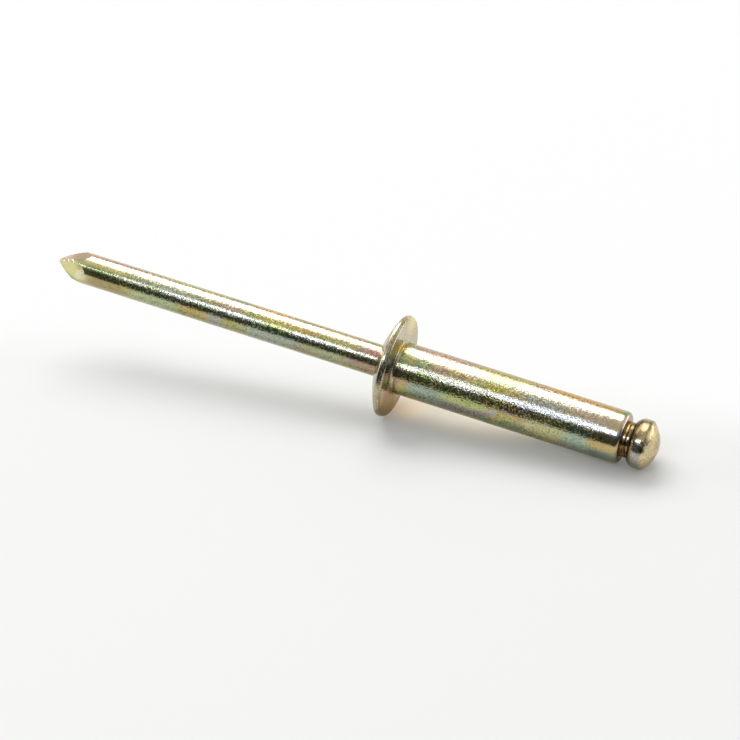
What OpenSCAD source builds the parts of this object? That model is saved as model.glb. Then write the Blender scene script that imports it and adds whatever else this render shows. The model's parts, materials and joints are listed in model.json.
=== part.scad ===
// Open-end blind rivet with a domed flange, unset, as it comes out of the box: a headed
// tubular body and the pointed mandrel that runs through it. It lies as it comes to rest,
// on the rim of its flange and on its mandrel head, with the mandrel's point in the air.
// +X runs towards the blind end, +Z is up, and the origin is the middle of its footprint.

/* [Body] */
// Outer diameter of the tubular body
body_d = 4.0; // [3.3:0.1:6.0]
// Length of the body under its flange
body_len = 18.0; // [6:0.5:30]
// Radius of the fillet between the body and its flange
root_fillet = 0.28; // [0.1:0.02:0.5]
// Radius round the body's blind end
end_round = 0.2; // [0.05:0.05:0.3]
// Gap all round between the stem and the body's bore
bore_gap = 0.05; // [0.02:0.01:0.15]
// Chamfer where the stem leaves the crown of the flange
crown_chamfer = 0.12; // [0.05:0.01:0.25]
// Length of the stretch under the crown where the stem is swollen to hold in the bore
hold_len = 0.8; // [0.3:0.1:3]
// Length over which the stem swells to that stretch, and falls back after it
hold_taper = 0.6; // [0.55:0.05:2]

/* [Flange] */
// Diameter of the flange
flange_d = 7.9; // [6.6:0.1:12]
// Height of the flange's crown above the face that clamps
crown_h = 1.55; // [1.0:0.05:2.2]
// Thickness of the flange at its rim
rim_h = 0.48; // [0.3:0.02:0.7]
// Radius on both edges of the rim
rim_round = 0.14; // [0.04:0.01:0.14]

/* [Stem and point] */
// Diameter of the mandrel's stem
stem_d = 2.45; // [2.0:0.05:2.6]
// Length of stem that stands out of the flange, with its point
stem_out = 26.8; // [20:0.1:40]
// Length of the pinched point
point_len = 2.6; // [1.6:0.1:4]
// Width of the blunt end of the point
point_tip_w = 0.2; // [0.1:0.02:0.4]
// Radius that the point's facets are crowned to, along the stem
point_crown = 7.3; // [5:0.1:20]
// Way that each facet of the point faces, in degrees about the stem. Jaws pinch the wire off
// one after another, so the facets are not spaced evenly.
point_turns = [53, 127, 183, 255, 338];

/* [Mandrel head] */
// Diameter of the mandrel head
head_d = 3.8; // [3.3:0.05:4.0]
// Length of the mandrel head past its neck
head_len = 2.15; // [1.8:0.05:4]
// Radius of the shoulder towards the body
head_back_round = 0.58; // [0.3:0.02:0.6]
// Radius of the shoulder towards the cap
head_front_round = 0.3; // [0.2:0.02:0.6]
// Radius of the cap's dome
cap_crown = 2.45; // [2.3:0.05:5]

/* [Break neck] */
// Diameter of the neck between the body and the mandrel head
neck_d = 2.72; // [2.7:0.02:3.0]
// Length of neck in view between the body and the mandrel head
neck_len = 0.42; // [0.4:0.02:1]
// Width of the fine groove round the middle of the neck
groove_w = 0.14; // [0.06:0.02:0.3]
// Depth of that groove
groove_depth = 0.06; // [0.02:0.01:0.1]
// Number of pinch marks round the neck
crimps = 2; // [2:1:6]
// Radius of the tool that pinches the neck
crimp_r = 0.19; // [0.1:0.01:0.2]
// Depth of a pinch mark
crimp_depth = 0.16; // [0.05:0.01:0.2]
// Way that the first pinch mark faces, in degrees about the stem
crimp_turn = 107; // [0:1:179]

/* [Hidden] */
$fn = 96;
finish = [0.78, 0.70, 0.45];
stem_finish = [0.72, 0.66, 0.47];
over = 1;
// A round that rolls onto a dome is this much fuller, so that it crosses the dome and no
// sliver is left where the two would only touch.
blend = 0.0002;

body_r = body_d / 2;
stem_r = stem_d / 2;
bore_r = stem_r + bore_gap;
neck_r = neck_d / 2;
head_r = head_d / 2;
flange_r = flange_d / 2;

// The dome of the flange is a ball that passes through the rim's upper edge and the crown.
dome_rise = crown_h - rim_h;
dome_crown = (flange_r ^ 2 + dome_rise ^ 2) / (2 * dome_rise);
dome_mid = dome_crown - crown_h;

// Along the axis, counted from the face that clamps: the stem is before it, the body after.
crown_z = dome_mid - sqrt(dome_crown ^ 2 - bore_r ^ 2);
tip_z = crown_z - stem_out;
seat_z = body_len - (neck_r - bore_r);
flare_z = body_len - (neck_r - stem_r);
groove_z = body_len + neck_len / 2;
head_z = body_len + neck_len;
cap_z = head_z + head_len;

// The front shoulder of the mandrel head rolls from the barrel onto the cap's dome.
cap_mid = cap_z - cap_crown;
front_r = head_r - head_front_round;
front_z = cap_mid + sqrt((cap_crown - head_front_round) ^ 2 - front_r ^ 2);

// At rest one line touches the rim's edge round and, further along, either the front
// shoulder of the mandrel head or the round of the body's blind end, whichever is lower.
rim_r = flange_r - rim_round;
function rest_angle(z, r, round) =
    atan2(rim_r - r, z + rim_round) - asin((round - rim_round) / norm([z + rim_round, rim_r - r]));
rest_tilt = min(
    rest_angle(front_z, front_r, head_front_round),
    rest_angle(body_len - end_round, body_r - end_round, end_round)
);
rest_h = rim_r * cos(rest_tilt) - rim_round * sin(rest_tilt) + rim_round;

// Ends of the resting rivet along X, before it is moved over the origin.
left_x = tip_z * cos(rest_tilt) - point_tip_w / 2 * sin(rest_tilt);
right_x = cap_mid * cos(rest_tilt) + cap_crown;

// Takes a square corner off an outline, down to a round that is tangent to both sides.
// at is the corner, in_x and in_y say on which side of it the outline lies (1 or -1).
module round_off(at, in_x, in_y, r) {
    difference() {
        translate([at[0] + in_x * (r - over) / 2, at[1] + in_y * (r - over) / 2])
            square(r + over, center = true);
        translate([at[0] + in_x * r, at[1] + in_y * r]) circle(r);
    }
}

// Wedge of the rim outside its upper edge round, which rolls from the rim onto the dome.
module rim_top_waste() {
    round_z = dome_mid - sqrt((dome_crown - rim_round) ^ 2 - rim_r ^ 2);
    lean = asin(rim_r / (dome_crown - rim_round));
    difference() {
        translate([rim_r, round_z]) polygon([
            [0, 0],
            over * [sin(lean), -cos(lean)],
            [over, -over],
            [over, 0],
        ]);
        translate([rim_r, round_z]) circle(rim_round + blend);
    }
}

// Half section of the body and its flange, with the axis along Y.
module body_section() {
    difference() {
        union() {
            square([body_r, body_len]);
            intersection() {
                translate([0, dome_mid]) circle(dome_crown, $fn = 360);
                translate([0, -crown_h]) square([flange_r, crown_h]);
            }
            difference() {
                square([body_r + root_fillet, root_fillet]);
                translate([body_r + root_fillet, root_fillet]) circle(root_fillet);
            }
        }
        round_off([body_r, body_len], -1, -1, end_round);
        round_off([flange_r, 0], -1, -1, rim_round);
        rim_top_waste();
        // Bore, chamfered at the crown and flared at the blind end to seat the mandrel.
        translate([-over, -crown_h - over]) square([over + bore_r, crown_h + body_len + 2 * over]);
        translate([bore_r, crown_z]) polygon([
            [-over, crown_chamfer + over],
            [0, crown_chamfer],
            [crown_chamfer + over, -over],
            [-over, -over],
        ]);
        translate([bore_r, seat_z]) polygon([
            [-over, -over],
            [0, 0],
            [neck_r - bore_r + over, neck_r - bore_r + over],
            [-over, neck_r - bore_r + over],
        ]);
    }
}

// Half section of the mandrel head, with the axis along Y.
module head_section() {
    difference() {
        intersection() {
            translate([0, head_z]) square([head_r, head_len]);
            translate([0, cap_mid]) circle(cap_crown, $fn = 180);
        }
        round_off([head_r, head_z], -1, 1, head_back_round);
        cap_waste();
    }
}

// Wedge of the head outside its front shoulder.
module cap_waste() {
    lean = asin(front_r / (cap_crown - head_front_round));
    difference() {
        translate([front_r, front_z]) polygon([
            [0, 0],
            [over, 0],
            [over, over],
            over * [sin(lean), cos(lean)],
        ]);
        translate([front_r, front_z]) circle(head_front_round + blend);
    }
}

// Half section of the whole mandrel, with the axis along Y and a square end for the point.
module mandrel_section() {
    translate([0, tip_z]) square([stem_r, flare_z - tip_z]);
    translate([0, crown_z]) polygon([
        [0, 0],
        [stem_r, 0],
        [bore_r, hold_taper],
        [bore_r, hold_taper + hold_len],
        [stem_r, 2 * hold_taper + hold_len],
        [0, 2 * hold_taper + hold_len],
    ]);
    polygon([
        [0, flare_z],
        [stem_r, flare_z],
        [neck_r, body_len],
        [neck_r, groove_z - groove_w / 2],
        [neck_r - groove_depth, groove_z],
        [neck_r, groove_z + groove_w / 2],
        [neck_r, head_z + head_back_round],
        [0, head_z + head_back_round],
    ]);
    head_section();
}

// What the pinching jaws leave on one side of the mandrel: all that is inside an arc which
// starts at the blunt tip and runs out of the stem's side after point_len.
module point_facet() {
    rise = stem_r - point_tip_w / 2;
    chord = norm([rise, point_len]);
    drop = sqrt(point_crown ^ 2 - chord ^ 2 / 4) / chord;
    mid = [(stem_r + point_tip_w / 2) / 2, point_len / 2] + drop * [-point_len, rise];
    rotate([90, 0, 0]) linear_extrude(height = 2 * head_d, center = true) {
        intersection() {
            translate([-head_d, -over]) square([2 * head_d, point_len + 2 * over]);
            translate(mid) circle(point_crown, $fn = 360);
        }
        translate([-head_d, point_len + over / 2]) square([2 * head_d, cap_z - tip_z]);
    }
}

// Rods that press the pinch marks into the break neck, each across the stem.
module crimp_marks() {
    for (i = [0 : crimps - 1])
        rotate([0, 0, crimp_turn + i * 360 / crimps])
            translate([neck_r + crimp_r - crimp_depth, 0, groove_z])
                rotate([90, 0, 0]) cylinder(h = 2 * neck_d, r = crimp_r, center = true);
}

// Lays a piece that stands on its axis down to rest, over the origin.
module lay_down() {
    translate([-(left_x + right_x) / 2, 0, rest_h]) rotate([0, 90 + rest_tilt, 0]) children();
}

// Tubular body, cold formed in one piece with its flange.
module rivet_body() {
    color(finish) lay_down() rotate_extrude() body_section();
}

// Mandrel: pinched point, stem, seat in the body, grooved and pinched break neck, and head.
module mandrel() {
    color(stem_finish) lay_down() difference() {
        intersection() {
            rotate_extrude() mandrel_section();
            intersection_for(turn = point_turns)
                rotate([0, 0, turn]) translate([0, 0, tip_z]) point_facet();
        }
        crimp_marks();
    }
}

rivet_body();
mandrel();
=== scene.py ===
"""Looks of an open-end blind rivet that lies at rest on white paper under soft studio light.

The rivet is a tubular body, cold formed in one piece with its domed flange, on a pointed
mandrel whose round head shows past the blind end. Both are steel, zinc plated and yellow
chromated. Every surface is worked out along and round the rivet's own line, in millimetres,
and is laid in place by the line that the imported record's mounts give.
"""

import json
import logging
import math
from dataclasses import dataclass
from enum import Enum

import bpy
import numpy as np
from mathutils import Matrix, Vector


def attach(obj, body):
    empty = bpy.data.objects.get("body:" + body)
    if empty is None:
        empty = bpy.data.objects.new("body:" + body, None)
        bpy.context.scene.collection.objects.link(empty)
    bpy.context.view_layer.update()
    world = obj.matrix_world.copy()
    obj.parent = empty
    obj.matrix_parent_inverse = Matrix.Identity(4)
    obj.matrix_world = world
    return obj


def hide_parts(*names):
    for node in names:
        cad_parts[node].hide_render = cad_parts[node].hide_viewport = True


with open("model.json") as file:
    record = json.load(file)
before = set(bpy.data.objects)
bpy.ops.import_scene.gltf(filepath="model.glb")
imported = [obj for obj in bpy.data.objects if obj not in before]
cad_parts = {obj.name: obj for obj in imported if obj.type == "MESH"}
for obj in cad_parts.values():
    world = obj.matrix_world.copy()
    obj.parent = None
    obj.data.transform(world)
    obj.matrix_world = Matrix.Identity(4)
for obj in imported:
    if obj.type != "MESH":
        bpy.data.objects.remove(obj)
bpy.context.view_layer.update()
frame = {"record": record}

log = logging.getLogger("rivet")

MM = 0.001
FULL_TURN = 2 * math.pi


# ---------------------------------------------------------------- small tools


def linear(code: str) -> tuple[float, float, float, float]:
    """Turns an sRGB colour into the linear one that the shaders use.

    Args:
        code: The colour as six hex digits after a #.

    Returns:
        Red, green and blue from 0 to 1, and an alpha of 1.
    """
    parts = [int(code[i : i + 2], 16) / 255 for i in (1, 3, 5)]
    low = [v / 12.92 if v <= 0.04045 else ((v + 0.055) / 1.055) ** 2.4 for v in parts]
    return (*low, 1.0)


def add(
    tree: bpy.types.NodeTree,
    kind: str,
    inputs: dict[str | int, object] | None = None,
    **settings: object,
) -> bpy.types.Node:
    """Adds a node with its settings, its values and the links that reach it.

    Args:
        tree: The node tree that takes the node.
        kind: The node's type name.
        inputs: A socket to link, or a value to set, for each input named or numbered.
        **settings: The node's own properties.

    Returns:
        The new node.
    """
    node = tree.nodes.new(kind)
    for name, value in settings.items():
        setattr(node, name, value)
    for key, value in (inputs or {}).items():
        if isinstance(value, bpy.types.NodeSocket):
            tree.links.new(value, node.inputs[key])
        else:
            node.inputs[key].default_value = value
    return node


def fill_ramp(node: bpy.types.Node, stops: list[tuple[float, str]]) -> None:
    """Gives a colour ramp its stops.

    Args:
        node: The Color Ramp node.
        stops: Pairs of place from 0 to 1 and sRGB hex colour, in order.
    """
    ramp = node.color_ramp
    while len(ramp.elements) < len(stops):
        ramp.elements.new(0.5)
    for element, (place, code) in zip(ramp.elements, stops):
        element.position = place
        element.color = linear(code)


def direction(azimuth: float, elevation: float) -> np.ndarray:
    """Unit vector towards a place round the rivet.

    Args:
        azimuth: Degrees from -Y towards +X.
        elevation: Degrees above the paper.

    Returns:
        The vector, three numbers.
    """
    turn, rise = math.radians(azimuth), math.radians(elevation)
    return np.array([math.cos(rise) * math.sin(turn), -math.cos(rise) * math.cos(turn), math.sin(rise)])


# ---------------------------------------------------------------- outlines and surfaces


def straight(a: tuple[float, float], b: tuple[float, float], steps: int) -> np.ndarray:
    """Points on a line, closer together towards both of its ends.

    The share of the way is (1 - cos(pi t)) / 2 for t in even steps from 0 to 1.

    Args:
        a: Place along the rivet and radius where the line starts.
        b: The same where it ends.
        steps: Number of steps.

    Returns:
        Rows of place and radius, with the start and without the end.
    """
    share = (1 - np.cos(np.pi * np.arange(steps) / steps)) / 2
    return np.array(a) + share[:, None] * (np.array(b) - np.array(a))


def arc(centre: tuple[float, float], radius: float, start: float, end: float, steps: int) -> np.ndarray:
    """Points on a circle's arc, in even steps of angle.

    Args:
        centre: Place along the rivet and radius of the circle's middle.
        radius: The circle's radius.
        start: Angle where the arc starts, in degrees from the rivet's line outwards.
        end: Angle where it ends.
        steps: Number of steps.

    Returns:
        Rows of place and radius, with the start and without the end.
    """
    angle = np.radians(start + (end - start) * np.arange(steps) / steps)
    return np.column_stack([centre[0] + radius * np.cos(angle), centre[1] + radius * np.sin(angle)])


def ripple(z: np.ndarray, turn: np.ndarray, seed: int, size: float, stretch: float) -> np.ndarray:
    """Slow unevenness of a formed surface, from -1 to 1.

    It is the mean of eight waves that each run along and round the rivet. Each has a whole
    number of crests round it, up to seven either way, so that it closes on itself.

    Args:
        z: Places along the rivet.
        turn: Turns round it, in radians.
        seed: Picks the waves.
        size: Shortest wave along the rivet, in millimetres.
        stretch: How many times longer the longest wave is.

    Returns:
        The unevenness at each place.
    """
    waves, most_round = 8, 7
    draw = np.random.default_rng(seed)
    total = np.zeros(np.broadcast(z, turn).shape)
    for _ in range(waves):
        wave = size * stretch ** draw.random()
        crests = FULL_TURN * (z / wave + draw.random())
        total += np.sin(crests + draw.integers(-most_round, most_round + 1) * turn)
    return total / waves


@dataclass(frozen=True)
class Mark:
    """A small bump or dent.

    Attributes:
        z: Place along the rivet.
        turn: Degrees round it.
        radius: Half of its width.
        height: How far it stands out, or how deep it goes if below 0.
    """

    z: float
    turn: float
    radius: float
    height: float

    def rise(self, z: np.ndarray, r: np.ndarray, turn: np.ndarray) -> np.ndarray:
        """How far it moves each point out: its height times exp(-(distance / radius)^2)."""
        across = 2 * r * np.sin((turn - math.radians(self.turn)) / 2)
        return self.height * np.exp(-((z - self.z) ** 2 + across**2) / self.radius**2)


@dataclass(frozen=True)
class StainOrPaintedLight:
    """A patch of colour: film of another thickness, or a painted highlight, reflection or shade.

    Attributes:
        z: Place along the rivet.
        turn: Degrees round it.
        long: Half of its length along the rivet.
        wide: Half of its width across the rivet.
        colour: Its colour, sRGB hex.
        r: Distance from the rivet's line, or None if that doesn't matter.
    """

    z: float
    turn: float
    long: float
    wide: float
    colour: str
    r: float | None = None

    def cover(self, z: np.ndarray, r: np.ndarray, turn: np.ndarray) -> np.ndarray:
        """Share of each point that it covers: exp(-q^4), q the distance over its half size."""
        across = 2 * r * np.sin((turn - math.radians(self.turn)) / 2)
        off = 0 if self.r is None else r - self.r
        square = ((z - self.z) / self.long) ** 2 + (across**2 + off**2) / self.wide**2
        return np.exp(-(square**2))


def paint(stains_and_painted_light: tuple[StainOrPaintedLight, ...], z: np.ndarray, r: np.ndarray, turn: np.ndarray) -> np.ndarray:
    """Lays film patches and patches of painted light over each other.

    Args:
        stains_and_painted_light: The patches, the lowest first.
        z: Places along the rivet.
        r: Distances from its line.
        turn: Turns round it, in radians.

    Returns:
        Their linear colour, and the share that they cover as a fourth value, at each point.
    """
    colour, covered = np.zeros((*z.shape, 3)), np.zeros((*z.shape, 1))
    for stain_or_painted_light in stains_and_painted_light:
        share = stain_or_painted_light.cover(z, r, turn)[..., None]
        colour = colour * (1 - share) + share * linear(stain_or_painted_light.colour)[:3]
        covered = covered * (1 - share) + share
    return np.concatenate([colour / np.maximum(covered, 1e-6), covered], -1)


@dataclass(frozen=True)
class Line:
    """The rivet's own line, which its parts are turned about.

    Attributes:
        start: Middle of the flange's clamping face, in metres.
        along: Unit vector towards the blind end.
    """

    start: np.ndarray
    along: np.ndarray

    @classmethod
    def from_record(cls) -> "Line":
        """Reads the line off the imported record's flange mount, which lies off it along Y."""
        seat = next(m for m in frame["record"]["mounts"] if m["name"] == "flange_seat")
        start = np.array(seat["pos_m"]) * (1, 0, 1)
        return cls(start, np.array(seat["axis"]))

    @property
    def tilt(self) -> float:
        """How far the line dips towards the blind end, in radians."""
        return math.atan2(-self.along[2], self.along[0])

    def place(self, z: np.ndarray, r: np.ndarray, turn: np.ndarray) -> np.ndarray:
        """Puts points given along and round the line into the frame.

        A turn of 0 faces down, and a quarter turn faces +Y.

        Args:
            z: Places along the line in millimetres, from the clamping face.
            r: Distances from the line in millimetres.
            turn: Turns round the line, in radians.

        Returns:
            The points in metres, with a last axis of three.
        """
        down = np.array([self.along[2], 0.0, -self.along[0]])
        side = np.array([0.0, 1.0, 0.0])
        out = np.cos(turn)[..., None] * down + np.sin(turn)[..., None] * side
        return self.start + MM * (z[..., None] * self.along + r[..., None] * out)


def surface(
    name: str,
    points: np.ndarray,
    ends: np.ndarray | None,
    finish_of_row: np.ndarray,
    layers: dict[str, np.ndarray],
    creases: np.ndarray | None = None,
) -> bpy.types.Object:
    """Makes a closed mesh from a grid of points whose columns run round the rivet.

    Each cell of the grid is a quad. Rows run along the outline: without ends the last row
    joins the first, and with ends each end row closes on its own point in a fan.

    Args:
        name: The piece's name.
        points: Rows by columns by three, in metres.
        ends: The points that close the first and the last row, two by three, or None.
        finish_of_row: Index of the material of the cells after each row.
        layers: Values for the materials at each point, rows by columns by one or four.
        creases: Marks, rows by columns by two, of sharp edges along the row and along the
            column that start at each point.

    Returns:
        The new object, with its mesh in place.
    """
    rows, columns = points.shape[:2]
    row = np.arange(rows if ends is None else rows - 1)[:, None]
    column = np.arange(columns)[None, :]
    after, beside = (row + 1) % rows, (column + 1) % columns
    here, ahead = row * columns, after * columns
    cells = (here + column, here + beside, ahead + beside, ahead + column)
    quads = np.stack(np.broadcast_arrays(*cells), -1).reshape(-1, 4)
    finish = np.repeat(finish_of_row[: row.size], columns)
    vertices = points.reshape(-1, 3)
    faces = quads.tolist()
    if ends is not None:
        vertices = np.vstack([vertices, ends])
        first, last = rows * columns, rows * columns + 1
        far = (rows - 1) * columns
        faces += np.column_stack([np.full(columns, first), beside[0], column[0]]).tolist()
        faces += np.column_stack([far + column[0], far + beside[0], np.full(columns, last)]).tolist()
        finish = np.concatenate([finish, np.repeat(finish_of_row[[0, -1]], columns)])
    mesh = bpy.data.meshes.new(name)
    mesh.from_pydata(vertices.tolist(), [], faces)
    mesh.polygons.foreach_set("use_smooth", np.ones(len(faces), bool))
    mesh.polygons.foreach_set("material_index", finish.astype(np.int32))
    for label, values in layers.items():
        flat = values.reshape(rows * columns, -1)
        if ends is not None:
            flat = np.vstack([flat, flat[:1], flat[-1:]])
        kind, part = ("FLOAT_COLOR", "color") if flat.shape[1] == 4 else ("FLOAT", "value")
        mesh.attributes.new(label, kind, "POINT").data.foreach_set(part, flat.astype(np.float32).ravel())
    if creases is not None:
        mark_creases(mesh, creases)
    mesh.update()
    piece = bpy.data.objects.new(name, mesh)
    bpy.context.scene.collection.objects.link(piece)
    return piece


def mark_creases(mesh: bpy.types.Mesh, creases: np.ndarray) -> None:
    """Marks edges of a grid's mesh as sharp.

    Args:
        mesh: The mesh, with a vertex for each point of the grid in order.
        creases: Marks, rows by columns by two, as in surface().
    """
    rows, columns = creases.shape[:2]
    pairs = np.zeros(len(mesh.edges) * 2, np.int32)
    mesh.edges.foreach_get("vertices", pairs)
    pairs = pairs.reshape(-1, 2)
    inside = (pairs < rows * columns).all(1)
    row, column = np.divmod(np.where(inside[:, None], pairs, 0), columns)
    same_row, same_column = row[:, 0] == row[:, 1], column[:, 0] == column[:, 1]
    low_row = row.min(1)
    wraps = np.abs(column[:, 0] - column[:, 1]) > 1
    low_column = np.where(wraps, column.max(1), column.min(1))
    sharp = np.where(same_row, creases[low_row, low_column, 0], False)
    sharp |= np.where(same_column, creases[low_row, low_column, 1], False)
    sharp &= inside
    mesh.attributes.new("sharp_edge", "BOOLEAN", "EDGE").data.foreach_set("value", sharp)


# ---------------------------------------------------------------- finishes


class Film(Enum):
    """Colours that a chromate film turns through as it grows thicker, as ramp stops."""

    BARREL = [
        (0.34, "#7F9B90"),
        (0.40, "#93A383"),
        (0.46, "#B4B272"),
        (0.51, "#C2B277"),
        (0.56, "#BFA27E"),
        (0.61, "#A89590"),
        (0.67, "#8F9A9C"),
    ]
    FLANGE = [
        (0.36, "#A9AA92"),
        (0.46, "#BDB694"),
        (0.54, "#B5A48C"),
        (0.64, "#A3A18F"),
    ]
    STEM = [
        (0.34, "#8DA08A"),
        (0.42, "#A3A672"),
        (0.50, "#B9AE74"),
        (0.57, "#B39C82"),
        (0.65, "#979794"),
    ]
    HEAD = [
        (0.36, "#A8A078"),
        (0.46, "#B8A678"),
        (0.54, "#BCA580"),
        (0.64, "#A8A08C"),
    ]


@dataclass(frozen=True)
class YellowZinc:
    """Steel that was zinc plated and dipped in yellow chromate, as on drawn or formed wire.

    The film's thickness drifts over a millimetre or two, so its tint runs from gold through
    olive, green and pink to grey, in patches drawn out along the rivet. The plating's crystals
    and the blasted steel under them break every reflection's edge into fine grain.

    Attributes:
        name: The material's name.
        film: The tints that the film runs through.
        patch: Size of a patch of tint across the rivet, in millimetres.
        drawn: How many times longer a patch is along the rivet.
        grain: Size of a grain, in millimetres. Single crystals are about 0.02, too fine to
            show, so this is the size of the clumps that they stand in.
        height: Height of the grain, in millimetres.
        roughness: Roughness between the grains.
        seed: Picks the pattern.
    """

    name: str
    film: Film
    patch: float
    drawn: float
    grain: float
    height: float
    roughness: float
    seed: float

    def material(self, line: Line) -> bpy.types.Material:
        """Builds the material.

        It reads two values off the piece: "film", the colour and cover of its film patches and of
        its painted highlights, reflections and shade, and "grain", how strongly its grain stands out.

        Args:
            line: The rivet's line, which the patches are drawn along.

        Returns:
            The new material.
        """
        made = bpy.data.materials.new(self.name)
        made.use_nodes = True
        tree = made.node_tree
        tree.nodes.clear()
        where = add(tree, "ShaderNodeTexCoord")
        # Millimetres along the rivet's line, across it and up from it.
        own = add(
            tree,
            "ShaderNodeMapping",
            {
                "Vector": where.outputs["Object"],
                "Location": Vector(line.start),
                "Rotation": (0, line.tilt, 0),
                "Scale": (MM, MM, MM),
            },
            vector_type="TEXTURE",
        )
        drawn = add(
            tree,
            "ShaderNodeMapping",
            {"Vector": own.outputs[0], "Location": (self.seed, 0, 0), "Scale": (1 / self.drawn, 1, 1)},
        )
        patches = add(
            tree,
            "ShaderNodeTexNoise",
            {"Vector": drawn.outputs[0], "Scale": 1 / self.patch, "Detail": 3, "Roughness": 0.55},
        )
        grains = add(
            tree,
            "ShaderNodeTexNoise",
            {"Vector": own.outputs[0], "Scale": 1 / self.grain, "Detail": 2, "Roughness": 0.6},
        )
        # The film is thicker or thinner on single grains too.
        thickness = add(
            tree,
            "ShaderNodeMix",
            {"Factor": 0.25, "A": patches.outputs["Fac"], "B": grains.outputs["Fac"]},
        )
        tint = add(tree, "ShaderNodeValToRGB", {"Fac": thickness.outputs["Result"]})
        fill_ramp(tint, self.film.value)
        # Film patches and painted light end unevenly, where the film's thickness drifts.
        stains_and_painted_light = add(tree, "ShaderNodeAttribute", attribute_name="film")
        drift = add(
            tree,
            "ShaderNodeMath",
            {0: patches.outputs["Fac"], 1: 1.2, 2: -0.5},
            operation="MULTIPLY_ADD",
        )
        reach = add(
            tree,
            "ShaderNodeMath",
            {0: stains_and_painted_light.outputs["Alpha"], 1: drift.outputs[0]},
            operation="ADD",
        )
        share = add(
            tree,
            "ShaderNodeMapRange",
            {"Value": reach.outputs[0], "From Min": 0.1, "From Max": 0.9, "To Min": 0.0, "To Max": 0.85},
            interpolation_type="SMOOTHSTEP",
        )
        film = add(
            tree,
            "ShaderNodeMix",
            {"Factor": share.outputs["Result"], 6: tint.outputs["Color"], 7: stains_and_painted_light.outputs["Color"]},
            data_type="RGBA",
        )
        strength = add(tree, "ShaderNodeAttribute", attribute_name="grain")
        # Low places hold a thicker, darker film.
        low = add(
            tree,
            "ShaderNodeMapRange",
            {
                "Value": grains.outputs["Fac"],
                "From Min": 0.34,
                "From Max": 0.56,
                "To Min": -0.44,
                "To Max": 0.12,
            },
        )
        shade = add(
            tree,
            "ShaderNodeMath",
            {0: low.outputs["Result"], 1: strength.outputs["Fac"], 2: 1.0},
            operation="MULTIPLY_ADD",
        )
        colour = add(
            tree,
            "ShaderNodeVectorMath",
            {0: film.outputs[2], "Scale": shade.outputs[0]},
            operation="SCALE",
        )
        # High places are clumps of crystals that lie every way, and scatter the lamps' light.
        clumps = add(
            tree,
            "ShaderNodeMapRange",
            {
                "Value": grains.outputs["Fac"],
                "From Min": 0.52,
                "From Max": 0.64,
                "To Min": 0.0,
                "To Max": 0.3,
            },
        )
        gloss = add(
            tree,
            "ShaderNodeMath",
            {0: clumps.outputs["Result"], 1: strength.outputs["Fac"], 2: self.roughness},
            operation="MULTIPLY_ADD",
        )
        relief = add(
            tree,
            "ShaderNodeBump",
            {
                "Height": grains.outputs["Fac"],
                "Strength": strength.outputs["Fac"],
                "Distance": self.height * MM,
            },
        )
        metal = add(
            tree,
            "ShaderNodeBsdfPrincipled",
            {
                "Base Color": colour.outputs[0],
                "Metallic": 1.0,
                "Roughness": gloss.outputs[0],
                "Normal": relief.outputs["Normal"],
            },
        )
        add(tree, "ShaderNodeOutputMaterial", {"Surface": metal.outputs[0]})
        return made


# The blasted tube has the deepest grain, so its reflections end in speckle, and its patches
# of green, gold and pink are drawn out along it.
BARREL = YellowZinc(
    name="yellow_zinc_tube",
    film=Film.BARREL,
    patch=1.1,
    drawn=2.4,
    grain=0.15,
    height=0.03,
    roughness=0.15,
    seed=3.0,
)
# The flange was pressed smooth, so it shines softly, and its tints are broad and pale.
FLANGE = YellowZinc(
    name="yellow_zinc_flange",
    film=Film.FLANGE,
    patch=1.6,
    drawn=1.0,
    grain=0.14,
    height=0.012,
    roughness=0.2,
    seed=11.0,
)
# The drawn wire has a finer, shallower grain than the tube, and narrower, longer streaks.
STEM = YellowZinc(
    name="yellow_zinc_wire",
    film=Film.STEM,
    patch=0.9,
    drawn=2.8,
    grain=0.14,
    height=0.021,
    roughness=0.15,
    seed=27.0,
)
# The upset head is the dullest, and is mottled in small patches of tan and gold.
HEAD = YellowZinc(
    name="yellow_zinc_head",
    film=Film.HEAD,
    patch=0.6,
    drawn=1.0,
    grain=0.18,
    height=0.018,
    roughness=0.21,
    seed=5.0,
)


# ---------------------------------------------------------------- the rivet


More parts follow.
